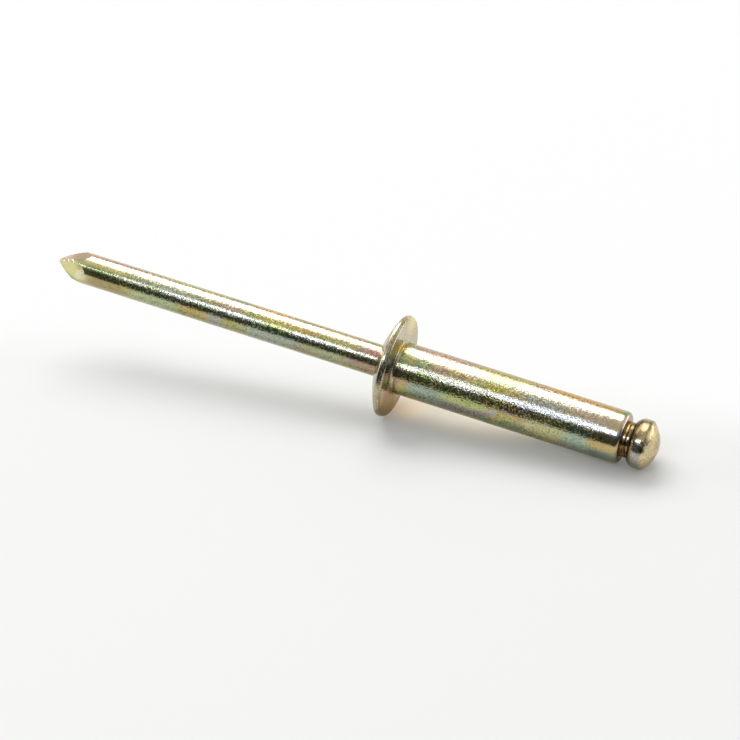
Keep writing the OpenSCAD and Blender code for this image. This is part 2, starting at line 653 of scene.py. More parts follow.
@dataclass(frozen=True)
class RivetBody:
    """Tubular body, cold formed in one piece with its domed flange. Sizes in millimetres.

    Attributes:
        line: The rivet's line, which it is turned about.
        columns: Number of points round it.
        body_r: Radius of the tube.
        body_len: Length of the tube under the flange.
        bore_r: Radius of the bore.
        mouth_r: Radius that the bore flares to at the blind end.
        root_fillet: Radius between the tube and the flange.
        end_round: Radius round the blind end. Tumbling has rolled it over further than it
            was cut.
        flange_r: Radius of the flange.
        crown_h: Height of the flange's crown over its clamping face.
        rim_h: Thickness of the flange at its rim.
        rim_round: Radius on the rim's upper edge.
        trim: How far the die's slanted side comes up the rim from the clamping face.
        rim_slant: How steeply that side stands on the clamping face, in degrees.
        edge_tight: Radius of the first of two rounds that run from that face to that side.
        edge_wide: Radius of the second.
        edge_turns: Degrees that the surface has turned through at the end of each of them.
        crown_chamfer: Chamfer where the stem leaves the crown.
        wall_wave: How far the tube's wall waves out and in.
        rim_wave: Most that the rim falls short of its circle.
        stains_and_painted_light: Film patches along the lower side and the side that looks up,
        painted highlights where the two lamps reflect, film patches along the top and spots; then
        film patches on the flange, painted shade low on its clamping face, a painted reflection at
        the tube's root, painted shade on the blind end and a painted highlight on its round.
    """

    line: Line
    columns: int = 320
    body_r: float = 2.0
    body_len: float = 18.0
    bore_r: float = 1.275
    mouth_r: float = 1.36
    root_fillet: float = 0.28
    end_round: float = 0.38
    flange_r: float = 3.95
    crown_h: float = 1.55
    rim_h: float = 0.48
    rim_round: float = 0.14
    trim: float = 0.28
    rim_slant: float = 68
    edge_tight: float = 0.03
    edge_wide: float = 0.5
    edge_turns: tuple[float, float] = (34, 50)
    crown_chamfer: float = 0.12
    wall_wave: float = 0.006
    rim_wave: float = 0.012
    stains_and_painted_light: tuple[StainOrPaintedLight, ...] = (
        StainOrPaintedLight(3.0, 277, 1.6, 0.9, "#A2B4A2"),
        StainOrPaintedLight(9.8, 288, 1.2, 0.4, "#93A386"),
        StainOrPaintedLight(16.6, 294, 1.6, 0.6, "#939C94"),
        StainOrPaintedLight(6.1, 286, 1.9, 0.45, "#979395"),
        StainOrPaintedLight(5.9, 263, 1.9, 0.5, "#BCC384"),
        StainOrPaintedLight(9.2, 254, 0.7, 0.25, "#BCA594"),
        StainOrPaintedLight(8.2, 268, 0.24, 0.3, "#B0BCB8"),
        StainOrPaintedLight(12.3, 268, 1.7, 0.85, "#C4C294"),
        StainOrPaintedLight(14.8, 272, 1.0, 1.0, "#A4B6A6"),
        StainOrPaintedLight(16.5, 262, 0.95, 0.55, "#C2AE78"),
        StainOrPaintedLight(2.1, 212, 0.8, 0.5, "#95A07E"),
        StainOrPaintedLight(3.6, 206, 0.9, 0.5, "#B29A82"),
        StainOrPaintedLight(5.0, 208, 0.9, 0.5, "#AFA070"),
        StainOrPaintedLight(6.5, 198, 0.6, 0.35, "#B5A09A"),
        StainOrPaintedLight(7.8, 208, 1.3, 0.55, "#B5AE5C"),
        StainOrPaintedLight(11.8, 208, 1.9, 0.6, "#A5A49A"),
        StainOrPaintedLight(15.7, 208, 2.0, 0.6, "#B5A290"),
        # Painted highlights: paler strips where the lamp in front reflects, greener near the flange.
        StainOrPaintedLight(4.6, 229, 4.4, 0.3, "#E0E4D6"),
        StainOrPaintedLight(13.5, 229, 5.0, 0.3, "#DCE2EC"),
        StainOrPaintedLight(2.4, 236, 0.9, 0.2, "#A5AE7A"),
        # Painted highlights: paler where the window behind reflects, yellower in the middle.
        StainOrPaintedLight(9.0, 189, 9.6, 0.6, "#CDC7B4"),
        StainOrPaintedLight(8.2, 186, 2.4, 0.5, "#CFC992"),
        # Film patches along the top.
        StainOrPaintedLight(3.2, 164, 2.2, 0.5, "#CCA48E"),
        StainOrPaintedLight(8.2, 164, 2.4, 0.5, "#C2B472"),
        StainOrPaintedLight(14.3, 164, 3.4, 0.5, "#D2A662"),
        # Spots in the film.
        StainOrPaintedLight(1.3, 245, 0.08, 0.1, "#3C3A22"),
        StainOrPaintedLight(16.6, 247, 0.1, 0.1, "#4A4020"),
        StainOrPaintedLight(4.3, 186, 0.1, 0.1, "#B08048"),
        # Film patches on the clamping face.
        StainOrPaintedLight(0.0, 143, 0.5, 2.2, "#BCB38C", 3.6),
        StainOrPaintedLight(0.0, 143, 0.5, 1.3, "#E09A86", 3.85),
        StainOrPaintedLight(0.0, 146, 0.5, 1.05, "#E2DE90", 3.75),
        # Painted shade: darker olive brown low on the clamping face, where it mirrors the shadow on the
        # paper.
        StainOrPaintedLight(0.0, 322, 0.5, 1.9, "#988050", 3.2),
        # Painted reflection: saturated gold at the tube's root, where the flange and the tube mirror each
        # other.
        StainOrPaintedLight(0.0, 190, 0.6, 0.55, "#BCA24C", 2.25),
        # Painted shade: dark brown on the blind end's face.
        StainOrPaintedLight(18.0, 230, 0.05, 3.5, "#8A6E3A", 1.5),
        # Painted highlight: a pale line along the blind end's round.
        StainOrPaintedLight(17.88, 190, 0.1, 0.9, "#E6D6CA", 1.9),
    )

    def outline(self) -> tuple[np.ndarray, np.ndarray]:
        """Works out the closed outline of half a section, and which finish each step has.

        It runs from the fillet out along the flange's clamping face, round the rim, over the
        dome, back through the bore and round the blind end to the fillet again.

        Returns:
            Rows of place and radius, and an index of finish for each.
        """
        dome_rise = self.crown_h - self.rim_h
        dome = (self.flange_r**2 + dome_rise**2) / (2 * dome_rise)
        dome_mid = dome - self.crown_h
        rim_r = self.flange_r - self.rim_round
        lean = math.degrees(math.asin(rim_r / (dome - self.rim_round)))
        rim_z = dome_mid - (dome - self.rim_round) * math.cos(math.radians(lean))
        chamfer_r = self.bore_r + self.crown_chamfer
        crown_lean = math.degrees(math.asin(chamfer_r / dome))
        crown_z = dome_mid - math.sqrt(dome**2 - chamfer_r**2)
        bore_z = crown_z + self.crown_chamfer
        root = self.body_r + self.root_fillet
        # The wide round runs out on the slanted side, and the tight one starts on the face.
        tight, wide = self.edge_tight, self.edge_wide
        turn_in, turn_out = (math.radians(turn) for turn in self.edge_turns)
        wide_z = (wide - tight) * (1 - math.cos(turn_in)) - wide
        bevel_z = wide_z + wide * math.cos(turn_out)
        bevel_r = self.flange_r - (self.trim + bevel_z) / math.tan(math.radians(self.rim_slant))
        wide_r = bevel_r - wide * math.sin(turn_out)
        edge_r = wide_r + (wide - tight) * math.sin(turn_in)
        seat_z = self.body_len - (self.mouth_r - self.bore_r)
        end_z, end_r = self.body_len - self.end_round, self.body_r - self.end_round
        flange = [
            arc((self.root_fillet, root), self.root_fillet, 270, 180, 12),
            straight((0, root), (0, edge_r), 28),
            arc((-tight, edge_r), tight, 0, self.edge_turns[0], 3),
            arc((wide_z, wide_r), wide, *self.edge_turns, 6),
            straight((bevel_z, bevel_r), (-self.trim, self.flange_r), 8),
            straight((-self.trim, self.flange_r), (rim_z, self.flange_r), 6),
            arc((rim_z, rim_r), self.rim_round, 90, 180 - lean, 8),
            arc((dome_mid, 0), dome, 180 - lean, 180 - crown_lean, 30),
            straight((crown_z, chamfer_r), (bore_z, self.bore_r), 4),
        ]
        barrel = [
            straight((bore_z, self.bore_r), (seat_z, self.bore_r), 12),
            straight((seat_z, self.bore_r), (self.body_len, self.mouth_r), 4),
            straight((self.body_len, self.mouth_r), (self.body_len, end_r), 8),
            arc((end_z, end_r), self.end_round, 0, 90, 8),
            straight((end_z, self.body_r), (self.root_fillet, self.body_r), 130),
        ]
        steps = np.vstack(flange + barrel)
        finish = np.zeros(len(steps), int)
        finish[: sum(len(part) for part in flange)] = 1
        return steps, finish

    def uneven(self, z: np.ndarray, r: np.ndarray, turn: np.ndarray) -> np.ndarray:
        """Makes the tube's wall and the rim a little uneven, and the rim nowhere larger.

        The wall gains its wave times a ripple, and the rim loses its wave times a share from
        0 to 1 that ripples too.

        Args:
            z: Places along the rivet, rows by columns.
            r: Radii of the true form.
            turn: Turns round the rivet, in radians.

        Returns:
            Radii of the uneven form.
        """
        # Both ends of the wall stay true, and so does the bore.
        true_len, fade, skin = 0.5, 2, 0.01
        ends = np.clip((z - true_len) / fade, 0, 1)
        ends = ends * np.clip((self.body_len - true_len - z) / fade, 0, 1)
        wall = np.where(r > self.body_r - skin, ends, 0)
        # The flange stays true out to where its rim starts.
        rim_start, rim_fade = 3.4, 0.5
        rim = np.clip((r - rim_start) / rim_fade, 0, 1)
        loss = (1 + ripple(z, turn, 9, 0.75, 2.0)) / 2
        return r + self.wall_wave * wall * ripple(z, turn, 4, 2.0, 4.0) - self.rim_wave * rim * loss

    def build(self) -> bpy.types.Object:
        """Turns the outline about the rivet's line.

        Returns:
            The piece.
        """
        steps, finish = self.outline()
        turn = FULL_TURN * np.arange(self.columns)[None, :] / self.columns
        z, r, turn = np.broadcast_arrays(steps[:, :1], steps[:, 1:], turn)
        # Blasted along its middle, and wiped smoother by the tools at both ends.
        blasted = np.interp(z, (0.0, 0.5, 2.5, 10.5, 15.5, 17.2), (0.4, 0.45, 1.0, 1.0, 0.8, 0.3))
        # The rim's slanted side is scuffed by the die.
        scuffed = np.interp(z, (-0.3, -0.25, -0.1, -0.08), (0.0, 1.0, 1.0, 0.0)) * (r > self.body_r)
        # The "film" layer carries film patches and painted highlights, reflections and shade.
        layers = {"film": paint(self.stains_and_painted_light, z, r, turn), "grain": blasted + scuffed}
        points = self.line.place(z, self.uneven(z, r, turn), turn)
        piece = surface("tubular_body", points, None, finish, layers)
        for finish_kind in (BARREL, FLANGE):
            piece.data.materials.append(finish_kind.material(self.line))
        return piece


@dataclass(frozen=True)
class Mandrel:
    """Mandrel of drawn wire: pinched point, stem, seat, grooved neck and head. In millimetres.

    Attributes:
        line: The rivet's line, which it is turned about.
        columns: Number of points round it.
        point_rows: Number of steps along the point.
        stem_r: Radius of the stem.
        tip_z: Place of the blunt tip.
        point_len: Length of the pinched point.
        point_half: Half of the blunt tip's width.
        point_crown: Radius that the point's facets are crowned to, along the stem.
        facets: Way that each facet faces, in degrees round the rivet.
        lead: Length of stem from the point's longest facet to the first plain row.
        crown_z: Place where the stem leaves the flange's crown.
        hold_r: Radius of the swollen stretch that holds in the bore.
        hold_taper: Length over which the stem swells to it, and falls back after it.
        hold_len: Length of that stretch.
        seat_z: Place where the stem starts to flare into the body's mouth.
        body_len: Place of the body's blind end.
        neck_r: Radius of the neck.
        groove_w: Width of the groove round the neck.
        groove_depth: Depth of that groove.
        head_r: Radius of the head.
        head_z: Place where the neck meets the head.
        head_len: Length of the head.
        back_round: Radius of its shoulder towards the body.
        front_round: Radius of its shoulder towards the cap.
        cap_crown: Radius of the cap's dome.
        barrel_crown: Radius that the head's barrel is crowned to at its widest ring.
        barrel_drop: Most that the barrel falls in from that ring.
        widest: Mean place of that ring.
        widest_swing: How far it waves along the head, both ways.
        widest_turn: Way that it is furthest along, in degrees round the rivet.
        crimps: Number of pinch marks round the neck.
        crimp_turn: Way that the first of them faces, in degrees.
        crimp_r: Radius of the tool that pinches the neck.
        crimp_depth: Depth of a pinch mark.
        wave: How far the stem waves out and in.
        stains_and_painted_light: Film patches on the point and along the lower side and the side
        that looks up, painted highlights where the two lamps reflect, film patches along the top;
        then painted shade round the neck, film patches on the head, painted highlights and painted
        shade on the head's barrel, film patches on the cap, painted highlights on the neck, a dark
        spot, and a painted highlight where the front lamp reflects on the head.
        marks: Burrs and nicks that the jaws left on the ridge of the point, and pits and bumps
            on the neck and the head.
    """

    line: Line
    columns: int = 240
    point_rows: int = 48
    stem_r: float = 1.225
    tip_z: float = -28.245
    point_len: float = 2.6
    point_half: float = 0.1
    point_crown: float = 7.3
    facets: tuple[float, ...] = (53, 127, 183, 255, 338)
    lead: float = 0.2
    crown_z: float = -1.4454
    hold_r: float = 1.27
    hold_taper: float = 0.6
    hold_len: float = 0.8
    seat_z: float = 17.865
    body_len: float = 18.0
    neck_r: float = 1.36
    groove_w: float = 0.14
    groove_depth: float = 0.06
    head_r: float = 1.9
    head_z: float = 18.5
    head_len: float = 2.07
    back_round: float = 0.62
    front_round: float = 0.3
    cap_crown: float = 2.45
    barrel_crown: float = 5.0
    barrel_drop: float = 0.09
    widest: float = 19.65
    widest_swing: float = 0.42
    widest_turn: float = 186
    crimps: int = 2
    crimp_turn: float = 107
    crimp_r: float = 0.19
    crimp_depth: float = 0.16
    wave: float = 0.004
    stains_and_painted_light: tuple[StainOrPaintedLight, ...] = (
        StainOrPaintedLight(-26.6, 255, 1.7, 0.8, "#E0D898"),
        StainOrPaintedLight(-26.0, 268, 0.5, 0.5, "#F2EECC"),
        StainOrPaintedLight(-26.25, 242, 0.24, 0.16, "#D2C278"),
        StainOrPaintedLight(-26.4, 170, 1.7, 0.6, "#E8C4A4"),
        StainOrPaintedLight(-27.4, 216, 0.5, 0.16, "#D8B4A4"),
        StainOrPaintedLight(-23.9, 275, 1.7, 0.7, "#A6976C"),
        StainOrPaintedLight(-19.8, 275, 2.1, 0.7, "#B0BC96"),
        StainOrPaintedLight(-16.3, 275, 1.1, 0.7, "#BCA870"),
        StainOrPaintedLight(-14.6, 272, 0.7, 0.6, "#ABAFA4"),
        StainOrPaintedLight(-13.3, 275, 0.8, 0.6, "#B0AE74"),
        StainOrPaintedLight(-10.2, 275, 2.1, 0.7, "#A6B2A2"),
        StainOrPaintedLight(-7.2, 270, 0.7, 0.6, "#ADAA8A"),
        StainOrPaintedLight(-5.2, 272, 1.3, 0.6, "#A8AE90"),
        StainOrPaintedLight(-2.3, 265, 0.9, 0.7, "#AE947E"),
        StainOrPaintedLight(-23.9, 212, 1.9, 0.4, "#D2CB94"),
        StainOrPaintedLight(-18.5, 212, 3.0, 0.4, "#B9BDA4"),
        StainOrPaintedLight(-13.4, 212, 0.8, 0.4, "#C6B09C"),
        StainOrPaintedLight(-9.4, 212, 2.5, 0.4, "#CDC078"),
        StainOrPaintedLight(-7.4, 209, 0.5, 0.3, "#C4A470"),
        StainOrPaintedLight(-4.9, 212, 1.6, 0.4, "#C0BA86"),
        StainOrPaintedLight(-1.9, 212, 0.6, 0.5, "#C49A90"),
        # Painted highlights: a paler strip where the lamp in front reflects, darker and greener in places.
        StainOrPaintedLight(-13.0, 231, 13.0, 0.2, "#D6DAD2"),
        StainOrPaintedLight(-24.5, 231, 1.9, 0.22, "#86946A"),
        StainOrPaintedLight(-20.0, 231, 0.6, 0.22, "#98A880"),
        StainOrPaintedLight(-9.8, 234, 1.4, 0.2, "#A2B46A"),
        # Painted highlight: paler where the window behind reflects.
        StainOrPaintedLight(-14.0, 189, 13.0, 0.34, "#CDC6B2"),
        # Film patches along the top.
        StainOrPaintedLight(-22.8, 166, 2.4, 0.35, "#D5AF9C"),
        StainOrPaintedLight(-16.6, 166, 3.4, 0.35, "#C6B98A"),
        StainOrPaintedLight(-10.4, 166, 1.8, 0.35, "#DAB27A"),
        StainOrPaintedLight(-5.0, 166, 2.5, 0.35, "#C7B586"),
        # Painted shade, with some darker film: dark brown all round the neck, between the body and the
        # head, and low on the head's back shoulder.
        StainOrPaintedLight(18.2, 230, 0.28, 4.0, "#8A6C38"),
        StainOrPaintedLight(18.75, 300, 0.3, 2.0, "#83694C"),
        # Film patches on the head.
        StainOrPaintedLight(19.3, 278, 0.42, 0.9, "#AFAFA8"),
        StainOrPaintedLight(19.25, 238, 0.4, 0.5, "#9C968A"),
        # Painted highlight and painted shade on the head's barrel: the window's reflection toned down,
        # dark brown on the back shoulder where it would mirror the window, brighter towards the back and
        # dimmer towards the cap.
        StainOrPaintedLight(19.1, 200, 0.8, 0.8, "#AE9A70"),
        StainOrPaintedLight(18.8, 200, 0.42, 1.25, "#46341E"),
        StainOrPaintedLight(19.36, 187, 0.13, 0.7, "#9A9071"),
        StainOrPaintedLight(19.67, 186, 0.22, 0.7, "#806C48"),
        # Film patches on the cap.
        StainOrPaintedLight(20.0, 232, 0.35, 2.6, "#E4CFA0"),
        StainOrPaintedLight(20.3, 262, 0.25, 0.3, "#DDBE98"),
        StainOrPaintedLight(20.05, 250, 0.14, 0.4, "#C8C49A"),
        # Painted highlights: bright specks on the neck where the lamps reflect.
        StainOrPaintedLight(18.14, 203, 0.1, 0.2, "#F0E4B0"),
        StainOrPaintedLight(18.08, 232, 0.08, 0.2, "#F2EEDC"),
        StainOrPaintedLight(18.36, 232, 0.08, 0.18, "#F2EEDC"),
        # A dark spot on the head's barrel.
        StainOrPaintedLight(19.72, 249, 0.16, 0.22, "#3A3228"),
        # Painted highlight: a pale spot where the lamp in front reflects on the head's barrel.
        StainOrPaintedLight(19.28, 233, 0.26, 0.2, "#F2F3EF", 1.8),
    )
    marks: tuple[Mark, ...] = (
        Mark(-28.0, 216, 0.10, 0.035),
        Mark(-27.75, 218, 0.09, -0.05),
        Mark(-27.5, 215, 0.12, 0.045),
        Mark(-27.28, 218, 0.08, -0.05),
        Mark(-27.1, 215, 0.12, 0.045),
        Mark(-26.85, 219, 0.10, -0.04),
        Mark(20.1, 206, 0.09, -0.02),
        Mark(19.88, 279, 0.11, -0.05),
        Mark(18.85, 242, 0.08, 0.05),
        Mark(19.16, 243, 0.16, -0.035),
        Mark(19.6, 228, 0.09, 0.05),
        Mark(19.4, 216, 0.09, -0.03),
        Mark(18.95, 262, 0.10, -0.03),
        Mark(18.28, 296, 0.08, 0.05),
        Mark(18.4, 290, 0.07, 0.04),
        Mark(18.1, 288, 0.07, 0.04),
    )

    def turns(self) -> tuple[np.ndarray, np.ndarray]:
        """Spreads the columns so that one falls on each ridge between two facets.

        Returns:
            The turn of each column in radians, and a mark on the ridge columns.
        """
        faces = np.radians(self.facets)
        ridges = (faces + np.append(faces[1:], faces[0] + FULL_TURN)) / 2
        spans = np.append(ridges[1:], ridges[0] + FULL_TURN) - ridges
        counts = np.round(self.columns * spans / FULL_TURN).astype(int)
        counts[-1] += self.columns - counts.sum()
        parts = [a + span * np.arange(n) / n for a, span, n in zip(ridges, spans, counts)]
        marks = [np.arange(n) == 0 for n in counts]
        return np.concatenate(parts), np.concatenate(marks)

    def point(self, turn: np.ndarray) -> tuple[np.ndarray, np.ndarray]:
        """Works out the pinched point, up to the edge where its facets run out of the stem.

        Each facet is an arc along the stem, straight across it. It starts beside the blunt
        tip and leaves the stem's side after the point's length. A column's rows run from the
        tip to where its own facet reaches the stem's radius.

        Args:
            turn: Turns of the columns.

        Returns:
            Places and radii, rows by columns, with the edge itself as the last row.
        """
        rise = self.stem_r - self.point_half
        chord = math.hypot(rise, self.point_len)
        drop = math.sqrt(self.point_crown**2 - chord**2 / 4) / chord
        mid_y = (self.stem_r + self.point_half) / 2 - drop * self.point_len
        mid_z = self.point_len / 2 + drop * rise
        facing = np.cos(turn[:, None] - np.radians(self.facets)[None, :]).max(1)[None, :]
        reach = mid_z - np.sqrt(self.point_crown**2 - (self.stem_r * facing - mid_y) ** 2)
        share = (1 - np.cos(np.pi * np.arange(self.point_rows + 1) / self.point_rows)) / 2
        along = share[:, None] * reach
        half = mid_y + np.sqrt(self.point_crown**2 - (along - mid_z) ** 2)
        return self.tip_z + along, half / facing

    def outline(self) -> tuple[np.ndarray, int]:
        """Works out the outline of half a section behind the point.

        Returns:
            Rows of place and radius from the point's edge to the cap's middle, and the
            number of rows that are stem.
        """
        back_mid = (self.head_z + self.back_round, self.head_r - self.back_round)
        meet = math.degrees(math.acos((self.neck_r - back_mid[1]) / self.back_round))
        meet_z = back_mid[0] - self.back_round * math.sin(math.radians(meet))
        cap_mid = self.head_z + self.head_len - self.cap_crown
        front_r = self.head_r - self.front_round
        roll = self.cap_crown - self.front_round
        front_z = cap_mid + math.sqrt(roll**2 - front_r**2)
        lean = math.degrees(math.asin(front_r / roll))
        stem_z = self.tip_z + self.point_len + self.lead
        swell_z = self.crown_z + self.hold_taper
        shrink_z = swell_z + self.hold_len
        plain_z = shrink_z + self.hold_taper
        groove = (self.body_len + self.head_z) / 2
        groove_r = self.neck_r - self.groove_depth
        stem = [
            straight((stem_z, self.stem_r), (self.crown_z, self.stem_r), 120),
            straight((self.crown_z, self.stem_r), (swell_z, self.hold_r), 3),
            straight((swell_z, self.hold_r), (shrink_z, self.hold_r), 2),
            straight((shrink_z, self.hold_r), (plain_z, self.stem_r), 3),
            straight((plain_z, self.stem_r), (self.seat_z, self.stem_r), 8),
        ]
        head = [
            straight((self.seat_z, self.stem_r), (self.body_len, self.neck_r), 5),
            straight((self.body_len, self.neck_r), (groove - self.groove_w / 2, self.neck_r), 10),
            straight((groove - self.groove_w / 2, self.neck_r), (groove, groove_r), 6),
            straight((groove, groove_r), (groove + self.groove_w / 2, self.neck_r), 6),
            straight((groove + self.groove_w / 2, self.neck_r), (meet_z, self.neck_r), 12),
            arc(back_mid, self.back_round, 90 + meet, 90, 24),
            straight((back_mid[0], self.head_r), (front_z, self.head_r), 16),
            arc((front_z, front_r), self.front_round, 90, lean, 20),
            arc((cap_mid, 0), self.cap_crown, lean, 0, 44),
        ]
        return np.vstack(stem + head), sum(len(part) for part in stem)

    def build(self) -> bpy.types.Object:
        """Builds the mandrel as one closed surface from its tip to the middle of its cap.

        Returns:
            The piece.
        """
        columns, ridge = self.turns()
        z_point, r_point = self.point(columns)
        steps, stem_rows = self.outline()
        z_rest, r_rest = (np.repeat(steps[:, i : i + 1], self.columns, 1) for i in (0, 1))
        z = np.vstack([z_point, z_rest])
        r = np.vstack([r_point, self.pinch(z_rest, r_rest, columns)])
        turn = np.broadcast_to(columns, z.shape)
        r = self.uneven(z, r, turn)
        creases = np.zeros((*z.shape, 2), bool)
        creases[: self.point_rows, ridge, 1] = True
        creases[[0, self.point_rows], :, 0] = True
        middle = np.zeros(2)
        ends = self.line.place(np.array([self.tip_z, self.head_z + self.head_len]), middle, middle)
        finish = np.zeros(len(z), int)
        finish[len(z_point) + stem_rows :] = 1
        # The wire is smooth near its point, where the jaws drew it, and grained behind.
        grain = np.interp(z, (-25.5, -21.0, -3.0, 17.9, 18.1), (0.25, 0.9, 0.8, 0.8, 0.5))
        # The "film" layer carries film patches and painted highlights, reflections and shade.
        layers = {"film": paint(self.stains_and_painted_light, z, r, turn), "grain": grain}
        piece = surface("pulling_mandrel", self.line.place(z, r, turn), ends, finish, layers, creases)
        for finish_kind in (STEM, HEAD):
            piece.data.materials.append(finish_kind.material(self.line))
        return piece

    def uneven(self, z: np.ndarray, r: np.ndarray, turn: np.ndarray) -> np.ndarray:
        """Makes the stem a little uneven, crowns the head and adds the marks.

        The head falls in by its drop times 1 - exp(-d^2 / (2 crown drop)), d the distance
        from the widest ring, which has the crown's radius at that ring.

        Args:
            z: Places along the rivet, rows by columns.
            r: Radii of the true form.
            turn: Turns round the rivet, in radians.

        Returns:
            Radii of the uneven form.
        """
        # The stem's waves start behind the point and fade out before the crown, and the
        # head's fall starts at the neck.
        start, fade, neck_fade = 3, 2, 0.2
        stem = np.clip((z - self.tip_z - start) / start, 0, 1) * np.clip((self.crown_z - z) / fade, 0, 1)
        r = r + self.wave * stem * ripple(z, turn, 6, 2.0, 5.0)
        # The widest ring waves three times in a turn, once for each jaw of the heading tool.
        jaws = 3
        barrel = np.clip((z - self.head_z) / neck_fade, 0, 1) * r / self.head_r
        swing = self.widest_swing * np.cos(jaws * (turn - math.radians(self.widest_turn)))
        off = z - (self.widest + swing)
        fall = 1 - np.exp(-(off**2) / (2 * self.barrel_crown * self.barrel_drop))
        r = r - self.barrel_drop * barrel * fall
        return r + sum(mark.rise(z, r, turn) for mark in self.marks)

    def pinch(self, z: np.ndarray, r: np.ndarray, turn: np.ndarray) -> np.ndarray:
        """Presses the pinch marks into the neck, each by a round rod across the mandrel.

        Args:
            z: Places along the rivet, rows by columns.
            r: Radii before pinching.
            turn: Turns of the columns.

        Returns:
            Radii after pinching.
        """
        middle = (self.body_len + self.head_z) / 2
        off = np.clip(self.crimp_r**2 - (z - middle) ** 2, 0, None)
        limit = self.neck_r + self.crimp_r - self.crimp_depth - np.sqrt(off)
        # Columns that hardly face the rod are out of its reach.
        least = 0.1
        for i in range(self.crimps):
            facing = np.cos(turn - math.radians(self.crimp_turn + 360 * i / self.crimps))[None, :]
            cut = np.where(facing > least, limit / np.maximum(facing, least), r)
            r = np.where(off > 0, np.minimum(r, cut), r)
        return r


# ---------------------------------------------------------------- the studio


@dataclass(frozen=True)
class Softbox:
    """A flat soft lamp that faces the rivet.

    Attributes:
        name: The lamp's name.
        azimuth: Degrees from -Y towards +X.
        elevation: Degrees above the paper.
        width: Width over its distance.
        height: Height over its distance.
        glow: Its brightness, where 1 is white paper in full light.
        colour: Its colour, sRGB hex.
        distance: How far off it hangs, in metres.
    """

    name: str
    azimuth: float
    elevation: float
    width: float
    height: float
    glow: float
    colour: str
    distance: float = 0.6

    def light(self, target: np.ndarray) -> None:
        """Hangs the lamp.

        Args:
            target: What it faces, in metres.
        """
        lamp = bpy.data.lights.new(self.name, "AREA")
        lamp.shape = "RECTANGLE"
        lamp.size, lamp.size_y = self.width * self.distance, self.height * self.distance
        lamp.color = linear(self.colour)[:3]
        # A flat lamp of one unit of glow gives four watts for each square metre.
        lamp.energy = 4 * self.glow * lamp.size * lamp.size_y
        hung = bpy.data.objects.new(self.name, lamp)
        away = Vector(direction(self.azimuth, self.elevation))
        hung.location = Vector(target) + self.distance * away
        hung.rotation_euler = away.to_track_quat("Z", "Y").to_euler()
        hung.visible_camera = False
        bpy.context.scene.collection.objects.link(hung)


@dataclass(frozen=True)
class Gleam:
    """Painted light: a warm glow on the paper, where one part of the rivet throws light on it.

    Attributes:
        middle: Place of its middle along X, in metres.
        reach: Half of its length, in metres.
        share: Its brightness, where 1 is white paper in full light.
        colour: Its colour, sRGB hex.
    """

    middle: float
    reach: float
    share: float
    colour: str


